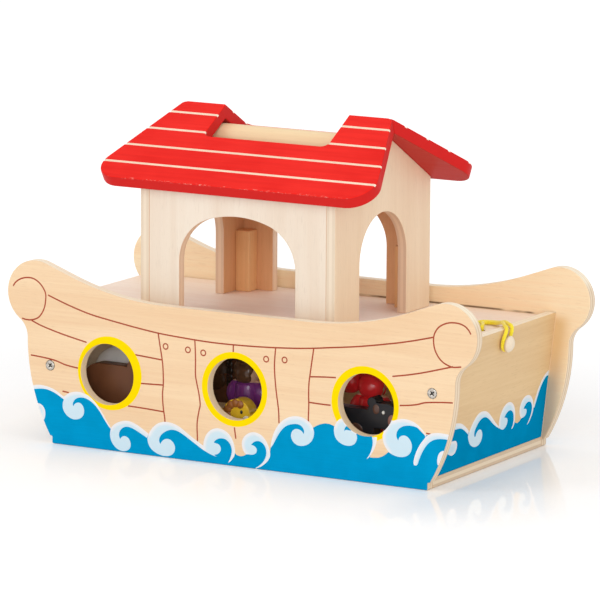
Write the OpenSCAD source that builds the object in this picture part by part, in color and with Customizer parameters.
// Toy ark: a plywood hull with portholes, and a deck that lifts with the house on it.
// Millimetres, +Z up. X runs along the hull with the bow at -X; the origin is the middle of the footprint.

/* [Hull] */
// Length of the hull along its bottom edge
hull_l = 340; // [310:1:370]
// Width over both side panels
hull_w = 200; // [188:1:220]
// Thickness of the side panels
panel_t = 9; // [8:0.5:12]
// Thickness of the base board
base_t = 8; // [7:0.5:12]
// Thickness of the bow and stern panels
end_t = 9; // [7:0.5:12]
// Outward lean of the bow and stern panels in degrees
end_rake = 6.5; // [4:0.5:9]
// How far the stern panel stands above the deck
end_rise = 3; // [1:0.5:5]
// Height of the deck's top above the ground
deck_z = 107; // [98:1:120]

/* [Side panel outline] */
// Height of the straight foot at each end
foot_h = 6; // [4:0.5:10]
// How far the neck under the scroll stands out past the foot
neck_out = 23; // [20:0.5:26]
// How far the neck lies below the deck
neck_down = 23; // [18:0.5:28]
// Radius of the side from the foot up to the neck
bilge_r = 155; // [150:1:180]
// Radius of the scroll at each end
lobe_r = 26.5; // [24:0.5:29]
// How far the scroll's centre lies out past the foot
lobe_out = 15; // [12:0.5:17]
// How far the scroll's centre lies above the deck
lobe_up = 13; // [10:0.5:18]
// Height of the rail above the deck amidships
rail_up = 14; // [11:0.5:18]
// Slope of the rail where it meets the scroll in degrees
rail_slope = 20; // [16:0.5:24]
// Radius of the rail's hollow curve
rail_r = 260; // [200:5:300]

/* [Portholes] */
// Radius of a porthole
port_r = 24.5; // [20:0.5:28]
// Height of the portholes' centres
port_z = 61; // [56:0.5:66]
// Distance between neighbouring portholes
port_pitch = 117; // [90:0.5:120]
// Place of the middle porthole along the hull
port_x = -1.5; // [-5:0.5:5]

/* [Deck] */
// Thickness of the deck board
deck_t = 9; // [8:0.5:12]
// Gap between the deck and the side and stern panels
deck_gap = 1; // [0.6:0.1:2]
// How far the deck reaches out past the foot over the bow panel
deck_over = 27.5; // [24:0.5:29]
// Distance of the steel pins from the deck's bow edge
pivot_back = 7.5; // [6.5:0.5:9]
// Diameter of the steel pins that the deck turns on
pivot_d = 5; // [3:0.5:6]
// Depth of a pin in its side panel
pivot_in = 6; // [4:0.5:7]
// Depth of a pin in the deck
pivot_run = 13; // [8:0.5:20]
// Length of each block that the deck rests on at the stern
rest_l = 60; // [40:1:70]
// Width and height of those blocks
rest_s = 10; // [7:0.5:14]

/* [House] */
// Length of the house over its gables
house_l = 176; // [160:1:190]
// Width of the house
house_w = 155; // [145:1:160]
// Thickness of the house walls
house_t = 8; // [7:0.5:11]
// Place of the house's middle along the hull
house_x = -13; // [-25:0.5:0]
// Height of the walls at the eaves above the deck
eave_h = 105; // [98:1:120]
// Pitch of the roof in degrees
roof_pitch = 30; // [26:0.5:34]
// Width of the arches in the long walls
long_arch_w = 105; // [80:1:115]
// Height of the arches in the long walls
long_arch_h = 86; // [75:1:94]
// Radius of the shoulders of those arches
shoulder_r = 37; // [28:1:40]
// Radius of the flatter crown of those arches
crown_r = 85; // [70:1:110]
// Width of the arches in the gables
gable_arch_w = 76; // [60:1:90]
// Height of the arches in the gables
gable_arch_h = 87; // [75:1:100]
// Side of the square corner posts
post_s = 13; // [11:0.5:15]
// Height of the corner posts
post_h = 50; // [35:1:60]

/* [Roof] */
// Thickness of the roof panels
roof_t = 10; // [7:0.5:12]
// Length of a roof panel down its slope
roof_run = 101.5; // [95:0.5:112]
// Length of the ridge
ridge_l = 190; // [182:1:200]
// Length of the eaves before their corners are rounded
eave_l = 262; // [246:1:276]
// How far the eaves lie out of the middle, towards the tighter corner
eave_shift = 4; // [0:0.5:8]
// Radius of the fuller of a panel's two corners at the eaves
full_corner_r = 21; // [14:1:30]
// Radius of the tighter of a panel's two corners at the eaves
tight_corner_r = 18.5; // [12:0.5:24]
// Radius of a panel's corners at the ridge
ridge_corner_r = 4; // [1:0.5:6]
// Length of the hand opening in the ridge
notch_l = 112; // [95:1:130]
// Length of the hand opening down the slope
notch_run = 41; // [32:0.5:46]
// Radius of the hand opening's corners
notch_r = 6; // [3:0.5:10]
// Distance from the ridge to the first groove
groove_first = 14.5; // [11:0.5:18]
// Distance between grooves
groove_pitch = 22.5; // [18:0.5:24]
// Number of grooves in a panel
groove_n = 4; // [3:1:4]
// Width of a groove
groove_w = 2.4; // [1.6:0.2:3]
// Depth of a groove
groove_d = 1.2; // [0.6:0.2:2]
// Diameter of the handle dowel under the ridge
handle_d = 25; // [20:0.5:28]
// Gap between the handle and the roof panels
handle_gap = 1.5; // [1:0.5:4]
// Depth of the handle's end in a gable
handle_in = 4; // [2:0.5:5]

/* [Latch] */
// Diameter of the latch knob's head
knob_d = 13; // [11:0.5:18]
// Thickness of the knob's head
knob_t = 5; // [4:0.5:7]
// Diameter of the knob's neck and tenon
knob_neck_d = 6; // [5:0.5:6.5]
// Length of the knob's neck
knob_neck_l = 4.2; // [3.8:0.1:6]
// How far the knob lies below the stern panel's top edge
knob_down = 10.5; // [10:0.5:12]
// Place of the knob to the port side of the middle
knob_y = 3; // [0:0.5:4]
// Diameter of the elastic cord
cord_d = 3; // [2:0.1:3.2]
// Diameter of the deck hole that the cord comes out of
cord_hole_d = 7.4; // [7.2:0.1:9]
// Diameter of the knot under the deck
knot_d = 10; // [8:0.5:12]

/* [Fixings] */
// Diameter of a screw's head
screw_head_d = 8; // [6.5:0.5:9]
// Diameter of a screw's shank
screw_d = 3.5; // [2.5:0.5:4.5]
// Length of the screws through the side panels
side_screw_l = 35; // [25:1:45]
// Length of the screws through the deck into the posts
post_screw_l = 30; // [20:1:40]
// Height of the screws at the bow
bow_screw_z = 63; // [50:1:80]
// Height of the screws at the stern
stern_screw_z = 76; // [50:1:80]
// Diameter of the wooden dowels
dowel_d = 5; // [3:0.5:5.5]
// Length of the wooden dowels
dowel_l = 16; // [14:1:22]
// Depth of a dowel in the piece that it is driven through
dowel_in = 6; // [4:0.5:6.5]
// Height of the dowels between the side and end panels
end_dowel_z = 25; // [16:1:36]
// Radial clearance of dowels, screws and pins in their holes
fit = 0.05; // [0.02:0.01:0.1]
// Gap between resting pieces that come apart
seat = 0.3; // [0.2:0.1:0.5]

/* [Figures] */
// Distance of the front row of figures from the front panel
front_row = 20; // [16:1:26]
// Distance of the middle row of figures from the front panel
middle_row = 48; // [46:1:50]
// Distance of the back row of figures from the front panel
back_row = 71; // [70:1:80]
// Distance of the elephant's middle from the foot of the bow
elephant_in = 44; // [42:0.5:50]
// Distance of the bear's middle from the foot of the bow
bear_in = 42; // [40:0.5:50]
// Thickness of the flat animals in the hold
animal_t = 12; // [8:0.5:14]
// Diameter of the turned people at their foot
person_d = 28; // [22:1:30]
// Height of the turned people's robe
person_h = 48; // [34:1:50]
// Diameter of the turned people's head
person_head_d = 21; // [16:1:24]

/* [Hidden] */
$fn = 96;
over = 1;
socket_end = 0.5;

// Hull
inner_w = hull_w - 2 * panel_t;
stern_top = deck_z + end_rise;
bow_top = deck_z - deck_t - seat;
end_cut = end_t / cos(end_rake);
function end_outer_x(z) = hull_l / 2 + (z - base_t) * tan(end_rake);
function end_inner_x(z) = end_outer_x(z) - end_cut;
function end_mid_x(z) = end_outer_x(z) - end_cut / 2;
port_xs = [for (i = [-1:1]) port_x + i * port_pitch];

// Side panel outline, from the foot at the stern round the scroll to the rail amidships
function arc(centre, r, from, to, steps, first = 0) =
    [for (i = [first:steps]) let (a = from + (to - from) * i / steps) centre + r * [cos(a), sin(a)]];
function mirrored(points) = [for (i = [len(points) - 1:-1:0]) [-points[i].x, points[i].y]];

foot_x = hull_l / 2;
neck = [foot_x + neck_out, deck_z - neck_down];
bilge_c = [neck.x - bilge_r, neck.y];
foot_angle = -asin((neck.y - foot_h) / bilge_r);
lobe_c = [foot_x + lobe_out, deck_z + lobe_up];
neck_over = neck.x - lobe_c.x;
neck_r = (neck_over ^ 2 + (lobe_c.y - neck.y) ^ 2 - lobe_r ^ 2) / (2 * (lobe_r - neck_over));
neck_c = [neck.x + neck_r, neck.y];
neck_angle = atan2(lobe_c.y - neck_c.y, lobe_c.x - neck_c.x);
rail_z = deck_z + rail_up;
rail_start = lobe_c + lobe_r * [-sin(rail_slope), cos(rail_slope)];
rail_drop = rail_start.y - rail_z - rail_r * (1 - cos(rail_slope));
rail_c = [rail_start.x - rail_drop / tan(rail_slope) - rail_r * sin(rail_slope), rail_z + rail_r];
panel_half = concat(
    [[foot_x, 0], [foot_x, foot_h]],
    arc(bilge_c, bilge_r, foot_angle, 0, 14),
    arc(neck_c, neck_r, 180, neck_angle, 10, 1),
    arc(lobe_c, lobe_r, neck_angle - 180, 90 + rail_slope, 40, 1),
    arc(rail_c, rail_r, rail_slope - 90, -90, 12)
);
panel_outline = concat(panel_half, mirrored(panel_half));

// Deck
deck_bottom = deck_z - deck_t;
deck_w = inner_w - 2 * deck_gap;
pivot_z = deck_z - deck_t / 2;
deck_bow_x = -(foot_x + deck_over);
pivot_x = deck_bow_x + pivot_back;
function deck_end_x(z) = end_inner_x(z) - deck_gap / cos(end_rake);

// House
house_end = house_l / 2;
house_side = house_w / 2;
eave_z = deck_z + eave_h;
wall_top = eave_z + house_t * tan(roof_pitch);
gable_top = eave_z + house_side * tan(roof_pitch);
long_wall_l = house_l - 2 * house_t;
post_x = house_end - house_t - post_s / 2;
post_y = house_side - house_t - post_s / 2;
gable_leg_y = (gable_arch_w / 2 + house_side) / 2;
long_leg_x = (long_arch_w / 2 + house_end - house_t) / 2;

// Roof
ridge_z = gable_top + roof_t / cos(roof_pitch);
function roof_slant(shift) = atan(((eave_l - ridge_l) / 2 + shift) / roof_run);
function roof_half(r, slant) = concat(
    arc([ridge_l / 2 - (r + (r - roof_run) * sin(slant)) / cos(slant), r - roof_run], r, -90, slant, 18),
    arc([ridge_l / 2 - ridge_corner_r * (1 - sin(slant)) / cos(slant), -ridge_corner_r], ridge_corner_r, slant, 90, 6)
);
roof_outline = concat(
    roof_half(full_corner_r, roof_slant(-eave_shift)),
    mirrored(roof_half(tight_corner_r, roof_slant(eave_shift)))
);
handle_z = gable_top - (handle_d / 2 + handle_gap) / cos(roof_pitch);
handle_end = house_end - house_t + handle_in;

// Latch
knob_z = stern_top - knob_down;
cord_hole = [160, 4];
knot_gap = 0.1;
knot_top = deck_bottom - knot_gap;
strand = 1.75;
// The loop leaves the deck hole, lies on the deck, crosses the stern's edge, goes round the knob and returns
loop_route = [
    [cord_hole.x, cord_hole.y - strand, knot_top], [160, 2.2, 106], [158.4, 3.2, 109.2], [153, 13, 109.6],
    [147.5, 22, 109], [147.5, 29, 108.8], [153, 32, 108.8], [163, 29, 109.8], [172, 22, 112.1],
    [179.6, 14.2, 112.3], [182.9, 11.8, 111.4], [183.9, 10.6, 108.5], [183.5, 9.5, 105], [183, 8.4, 101],
    [182.4, 6.4, 95.6], [182.2, 1.6, 94.2], [182.5, -2.1, 97.4], [183.1, -2.3, 102], [183.8, -1, 106],
    [184, 0.8, 108.6], [183, 3, 111.4], [179.7, 6.8, 112.3], [171.5, 18, 112.1], [163, 25.3, 109.8],
    [154.5, 28, 108.9], [151.2, 25.8, 108.8], [152.2, 21, 109.2], [156.5, 14, 109.6], [159.8, 6.6, 109.4],
    [160, 5.8, 106], [cord_hole.x, cord_hole.y + strand, knot_top]
];
loop_sides = 8;

// Figures, standing on the base board behind the front portholes
figure_z = base_t + seat;

// A drawing in X and Y stood up along the hull, with its thickness towards -Y
module upright() {
    rotate([90, 0, 0]) children();
}

// A drawing in X and Y stood up across the hull, with its thickness towards +X
module across() {
    rotate([90, 0, 90]) children();
}

module both_sides() {
    children();
    mirror([0, 1, 0]) children();
}

module both_ends() {
    children();
    mirror([1, 0, 0]) children();
}

// Fixings
module wood_screw(length, grow = 0) {
    head_h = (screw_head_d - screw_d) / 2;
    tip_h = screw_d;
    translate([0, 0, -head_h]) cylinder(h = head_h, d1 = screw_d + 2 * grow, d2 = screw_head_d + 2 * grow);
    translate([0, 0, tip_h - length - grow]) cylinder(h = length + grow - tip_h - head_h, d = screw_d + 2 * grow);
    translate([0, 0, -length - grow]) cylinder(h = tip_h, d1 = screw_d / 3 + 2 * grow, d2 = screw_d + 2 * grow);
}

module cross_screw(length) {
    slot_l = 0.56 * screw_head_d;
    slot_w = 0.13 * screw_head_d;
    slot_d = 0.18 * screw_head_d;
    difference() {
        wood_screw(length);
        for (a = [0, 90])
            rotate([0, 0, a]) translate([-slot_l / 2, -slot_w / 2, -slot_d]) cube([slot_l, slot_w, slot_d + over]);
    }
}

// A dowel along -Z that stands dowel_in above the joint face
module dowel() {
    translate([0, 0, dowel_in - dowel_l]) cylinder(h = dowel_l, d = dowel_d);
}

module dowel_hole() {
    translate([0, 0, dowel_in - dowel_l - socket_end])
        cylinder(h = dowel_l + 2 * socket_end, d = dowel_d + 2 * fit);
}

module side_screw_places() {
    translate([end_mid_x(stern_screw_z), -hull_w / 2, stern_screw_z]) upright() children();
    translate([-end_mid_x(bow_screw_z), -hull_w / 2, bow_screw_z]) upright() children();
}

module base_dowel_places() {
    for (x = port_xs) translate([x, -inner_w / 2, base_t / 2]) upright() children();
}

module end_dowel_places() {
    both_ends() translate([end_mid_x(end_dowel_z), -inner_w / 2, end_dowel_z]) upright() children();
}

module pivot_place() {
    translate([pivot_x, -inner_w / 2, pivot_z]) upright() children();
}

module post_places() {
    both_sides() for (side = [-1, 1]) translate([house_x + side * post_x, post_y, 0]) children();
}

module wall_dowel_places() {
    both_sides() for (side = [-1, 1]) {
        translate([house_x + side * (house_end - house_t / 2), gable_leg_y, deck_z]) children();
        translate([house_x + side * long_leg_x, house_side - house_t / 2, deck_z]) children();
    }
}

module knob_place() {
    translate([end_outer_x(knob_z), knob_y, knob_z]) rotate([0, 90 + end_rake, 0]) children();
}

// Hull pieces
module base_board() {
    color("burlywood") difference() {
        translate([-hull_l / 2, -inner_w / 2, 0]) cube([hull_l, inner_w, base_t]);
        both_sides() base_dowel_places() dowel_hole();
    }
}

module side_panel() {
    difference() {
        translate([0, -inner_w / 2, 0]) upright() linear_extrude(panel_t) polygon(panel_outline);
        for (x = port_xs)
            translate([x, over - inner_w / 2, port_z]) upright() cylinder(h = panel_t + 2 * over, r = port_r);
        side_screw_places() wood_screw(side_screw_l, fit);
        base_dowel_places() dowel_hole();
        end_dowel_places() dowel_hole();
        pivot_place() translate([0, 0, -over])
            cylinder(h = over + pivot_in + socket_end, d = pivot_d + 2 * fit);
    }
}

module side_panel_front() {
    color("wheat") side_panel();
}

module side_panel_back() {
    color("wheat") mirror([0, 1, 0]) side_panel();
}

module end_slab(top) {
    upright() linear_extrude(inner_w, center = true) polygon([
        [end_outer_x(base_t), base_t], [end_outer_x(top), top], [end_inner_x(top), top], [end_inner_x(base_t), base_t]
    ]);
}

module bow_panel() {
    color("tan") difference() {
        mirror([1, 0, 0]) end_slab(bow_top);
        both_sides() side_screw_places() wood_screw(side_screw_l, fit);
        both_sides() end_dowel_places() dowel_hole();
    }
}

module stern_panel() {
    color("tan") difference() {
        end_slab(stern_top);
        both_sides() side_screw_places() wood_screw(side_screw_l, fit);
        both_sides() end_dowel_places() dowel_hole();
        knob_place() translate([0, 0, -end_t - over]) cylinder(h = end_t + 2 * over, d = knob_neck_d + 2 * fit);
    }
}

module deck_rests() {
    top = deck_bottom - seat;
    bottom = top - rest_s;
    color("burlywood") both_sides() translate([0, rest_l - inner_w / 2, 0]) upright() linear_extrude(rest_l) polygon([
        [end_inner_x(bottom), bottom], [end_inner_x(top), top],
        [end_inner_x(top) - rest_s, top], [end_inner_x(bottom) - rest_s, bottom]
    ]);
}

module side_screws() {
    color("silver") both_sides() side_screw_places() cross_screw(side_screw_l);
}

module base_dowels() {
    color("peru") both_sides() base_dowel_places() dowel();
}

module end_dowels() {
    color("peru") both_sides() end_dowel_places() dowel();
}

module pivot_pins() {
    run = pivot_run + deck_gap;
    color("silver") both_sides() pivot_place() translate([0, 0, -run]) cylinder(h = run + pivot_in, d = pivot_d);
}

module latch_knob() {
    rim = knob_t / 3;
    head_r = knob_d / 2;
    dome_h = knob_t - rim;
    dome_r = (head_r ^ 2 + dome_h ^ 2) / (2 * dome_h);
    dome_angle = asin(head_r / dome_r);
    color("bisque") knob_place() rotate_extrude() polygon(concat(
        [[0, -end_t], [knob_neck_d / 2, -end_t], [knob_neck_d / 2, knob_neck_l], [head_r, knob_neck_l]],
        arc([0, knob_neck_l + knob_t - dome_r], dome_r, 90 - dome_angle, 90, 10)
    ));
}

// Deck pieces
module deck_board() {
    color("rosybrown") difference() {
        upright() linear_extrude(deck_w, center = true) polygon([
            [deck_bow_x, deck_bottom], [deck_end_x(deck_bottom), deck_bottom],
            [deck_end_x(deck_z), deck_z], [deck_bow_x, deck_z]
        ]);
        both_sides() pivot_place() translate([0, 0, -deck_gap - pivot_run - socket_end])
            cylinder(h = pivot_run + socket_end + over, d = pivot_d + 2 * fit);
        translate([cord_hole.x, cord_hole.y, deck_bottom - over]) cylinder(h = deck_t + 2 * over, d = cord_hole_d);
        wall_dowel_places() rotate([180, 0, 0]) dowel_hole();
        post_places() translate([0, 0, deck_bottom]) rotate([180, 0, 0]) wood_screw(post_screw_l, fit);
    }
}

module arch(width, height) {
    spring = height - width / 2;
    translate([-width / 2, deck_z - over]) square([width, spring + over]);
    translate([0, deck_z + spring]) circle(d = width);
}

module flat_arch(width, height) {
    reach = width / 2 - shoulder_r;
    drop = sqrt((crown_r - shoulder_r) ^ 2 - reach ^ 2);
    spring = deck_z + height - crown_r + drop;
    meet = [reach, drop] * crown_r / (crown_r - shoulder_r) + [0, spring - drop];
    translate([-width / 2, deck_z - over]) square([width, spring - deck_z + over]);
    for (side = [-1, 1]) translate([side * reach, spring]) circle(r = shoulder_r);
    intersection() {
        translate([0, spring - drop]) circle(r = crown_r);
        polygon([
            [-reach, spring], [reach, spring], meet, [meet.x, spring + crown_r],
            [-meet.x, spring + crown_r], [-meet.x, meet.y]
        ]);
    }
}

module long_wall() {
    difference() {
        translate([house_x - long_wall_l / 2, 0, 0]) across() linear_extrude(long_wall_l) polygon([
            [-house_side, deck_z], [house_t - house_side, deck_z],
            [house_t - house_side, wall_top], [-house_side, eave_z]
        ]);
        translate([house_x, house_t + over - house_side, 0]) upright() linear_extrude(house_t + 2 * over)
            flat_arch(long_arch_w, long_arch_h);
        wall_dowel_places() rotate([180, 0, 0]) dowel_hole();
    }
}

module house_front_wall() {
    color("antiquewhite") long_wall();
}

module house_back_wall() {
    color("antiquewhite") mirror([0, 1, 0]) long_wall();
}

module gable(side) {
    difference() {
        translate([house_x + side * (house_end - house_t / 2) - house_t / 2, 0, 0]) across() linear_extrude(house_t)
            difference() {
                polygon([
                    [-house_side, deck_z], [house_side, deck_z], [house_side, eave_z],
                    [0, gable_top], [-house_side, eave_z]
                ]);
                arch(gable_arch_w, gable_arch_h);
            }
        wall_dowel_places() rotate([180, 0, 0]) dowel_hole();
        handle_rod(fit);
    }
}

module bow_gable() {
    color("antiquewhite") gable(-1);
}

module stern_gable() {
    color("antiquewhite") gable(1);
}

module corner_post(side, face) {
    color("burlywood") difference() {
        translate([house_x + side * post_x - post_s / 2, face * post_y - post_s / 2, deck_z])
            cube([post_s, post_s, post_h]);
        post_places() translate([0, 0, deck_bottom]) rotate([180, 0, 0]) wood_screw(post_screw_l, fit);
    }
}

module post_screws() {
    color("silver") post_places() translate([0, 0, deck_bottom]) rotate([180, 0, 0]) cross_screw(post_screw_l);
}

module wall_dowels() {
    color("peru") wall_dowel_places() rotate([180, 0, 0]) dowel();
}

module roof_sheet() {
    linear_extrude(roof_t) difference() {
        polygon(roof_outline);
        translate([-notch_l / 2, notch_r - notch_run]) square([notch_l, notch_run]);
        translate([notch_r - notch_l / 2, -notch_run]) square([notch_l - 2 * notch_r, notch_run]);
        for (side = [-1, 1])
            translate([side * (notch_l / 2 - notch_r), notch_r - notch_run]) circle(r = notch_r);
    }
}

module roof_panel() {
    difference() {
        translate([house_x, 0, ridge_z]) rotate([roof_pitch, 0, 0]) difference() {
            translate([0, 0, -roof_t]) roof_sheet();
            for (i = [0:groove_n - 1])
                translate([-eave_l, -groove_first - i * groove_pitch - groove_w / 2, -groove_d])
                    cube([2 * eave_l, groove_w, groove_d + over]);
        }
        translate([house_x - eave_l, 0, ridge_z - roof_run]) cube([2 * eave_l, roof_t + over, roof_run + over]);
    }
}

module roof_front() {
    color("red") roof_panel();
}

// Both panels are cut to one pattern: the back one is the front one turned half round
module roof_back() {
    color("red") translate([house_x, 0, 0]) rotate([0, 0, 180]) translate([-house_x, 0, 0]) roof_panel();
}

module handle_rod(grow = 0) {
    half = handle_end + (grow > 0 ? socket_end : 0);
    translate([house_x - half, 0, handle_z]) rotate([0, 90, 0]) cylinder(h = 2 * half, d = handle_d + 2 * grow);
}

module handle_dowel() {
    color("moccasin") handle_rod();
}

// Elastic loop, a tube swept along its route
function unit(v) = v / norm(v);
function curve_point(a, b, c, d, t) =
    (2 * b + (c - a) * t + (2 * a - 5 * b + 4 * c - d) * t ^ 2 + (3 * b - a - 3 * c + d) * t ^ 3) / 2;
function smooth(route) = let (last = len(route) - 1) concat(
    [for (i = [0:last - 1], t = [0, 0.5])
        curve_point(route[max(i - 1, 0)], route[i], route[i + 1], route[min(i + 2, last)], t)],
    [route[last]]
);
function tangents(path) = let (last = len(path) - 1)
    [for (i = [0:last]) i == 0 || i == last ? [0, 0, i == 0 ? 1 : -1] : unit(path[i + 1] - path[i - 1])];
function carried(side, tangent) = unit(side - tangent * (side * tangent));
function sides_along(axes, start) =
    [for (i = 0, s = start; i < len(axes); i = i + 1, s = i < len(axes) ? carried(s, axes[i]) : s) s];
function ring(centre, axis, side, r) = let (other = cross(axis, side))
    [for (k = [0:loop_sides - 1]) let (a = 360 * k / loop_sides) centre + r * (side * cos(a) + other * sin(a))];

module tube(path, r) {
    axes = tangents(path);
    sides = sides_along(axes, [1, 0, 0]);
    n = loop_sides;
    last = len(path) - 1;
    points = [for (i = [0:last]) each ring(path[i], axes[i], sides[i], r)];
    walls = [for (i = [0:last - 1], k = [0:n - 1]) let (a = i * n + k, b = i * n + (k + 1) % n)
        each [[a, a + n, b], [b, a + n, b + n]]];
    caps = [for (k = [1:n - 2]) each [[0, k, k + 1], [last * n, last * n + k + 1, last * n + k]]];
    polyhedron(points, concat(walls, caps));
}

module elastic_loop() {
    color("gold") tube(smooth(loop_route), cord_d / 2);
}

module loop_knot() {
    drop = knot_d * 0.35;
    color("gold") difference() {
        translate([cord_hole.x, cord_hole.y, knot_top - drop]) sphere(d = knot_d);
        translate([cord_hole.x - knot_d, cord_hole.y - knot_d, knot_top]) cube(2 * knot_d);
    }
}

// Figures
module pad(low, high, r) {
    translate([low.x + r, low.y]) square([high.x - low.x - 2 * r, high.y - low.y]);
    translate([low.x, low.y + r]) square([high.x - low.x, high.y - low.y - 2 * r]);
    for (x = [low.x + r, high.x - r], y = [low.y + r, high.y - r]) translate([x, y]) circle(r = r);
}

module legs(back, front, width, height) {
    for (x = [back, front]) translate([x, 0]) square([width, height]);
}

module animal(x, row) {
    translate([x, row - inner_w / 2 + animal_t / 2, figure_z]) upright() linear_extrude(animal_t) children();
}

module figure_elephant() {
    color("lightgray") animal(elephant_in - foot_x, middle_row) {
        legs(-27, 10, 14, 30);
        pad([-30, 20], [28, 66], 18);
        translate([30, 52]) circle(r = 17);
        pad([37, 6], [46, 52], 4.4);
    }
}

module figure_bear() {
    color("saddlebrown") animal(bear_in - foot_x, front_row) {
        legs(-26, 10, 12, 26);
        pad([-28, 16], [24, 56], 16);
        translate([27, 52]) circle(r = 14);
        translate([40, 47]) circle(r = 6.5);
        translate([21, 64]) circle(r = 4.5);
    }
}

module figure_horse() {
    color("sienna") animal(port_xs[1] - 60.5, back_row) {
        legs(-24, 12, 9, 30);
        pad([-26, 24], [22, 48], 9);
        pad([10, 36], [24, 68], 5);
        pad([14, 55], [38, 67], 5);
        pad([-31, 22], [-24.5, 46], 3);
    }
}

module figure_lion() {
    color("gold") animal(port_xs[1] - 34.5, front_row) {
        legs(-24, 8, 10, 18);
        pad([-26, 10], [20, 29], 8);
        translate([23, 28]) circle(r = 12);
        translate([33, 24]) circle(r = 5);
        pad([-34, 22], [-22, 27], 2.4);
        translate([-34, 27]) circle(r = 4);
    }
}

module figure_cow() {
    color("dimgray") animal(port_xs[2] - 27.5, front_row) {
        legs(-26, 10, 10, 24);
        pad([-28, 18], [22, 44], 8);
        pad([16, 30], [42, 50], 8);
        translate([20, 50]) circle(r = 4);
    }
}

module person(x) {
    foot_r = person_d / 2;
    head_r = person_head_d / 2;
    neck_r = 0.7 * head_r;
    translate([x, middle_row - inner_w / 2, figure_z]) {
        rotate_extrude() polygon([
            [0, 0], [foot_r, 0], [foot_r, person_h / 6], [head_r, person_h - 2], [neck_r, person_h], [0, person_h]
        ]);
        translate([0, 0, person_h + sqrt(head_r ^ 2 - neck_r ^ 2)]) sphere(r = head_r);
    }
}

module figure_man() {
    color("purple") person(port_xs[1] - 20.5);
}

module figure_woman() {
    color("crimson") person(port_xs[2] - 25.5);
}

base_board();
side_panel_front();
side_panel_back();
bow_panel();
stern_panel();
deck_rests();
side_screws();
base_dowels();
end_dowels();
pivot_pins();
latch_knob();
deck_board();
house_front_wall();
house_back_wall();
bow_gable();
stern_gable();
corner_post(-1, -1);  // post_front_bow
corner_post(1, -1);  // post_front_stern
corner_post(-1, 1);  // post_back_bow
corner_post(1, 1);  // post_back_stern
post_screws();
wall_dowels();
roof_front();
roof_back();
handle_dowel();
elastic_loop();
loop_knot();
figure_elephant();
figure_bear();
figure_horse();
figure_man();
figure_lion();
figure_woman();
figure_cow();
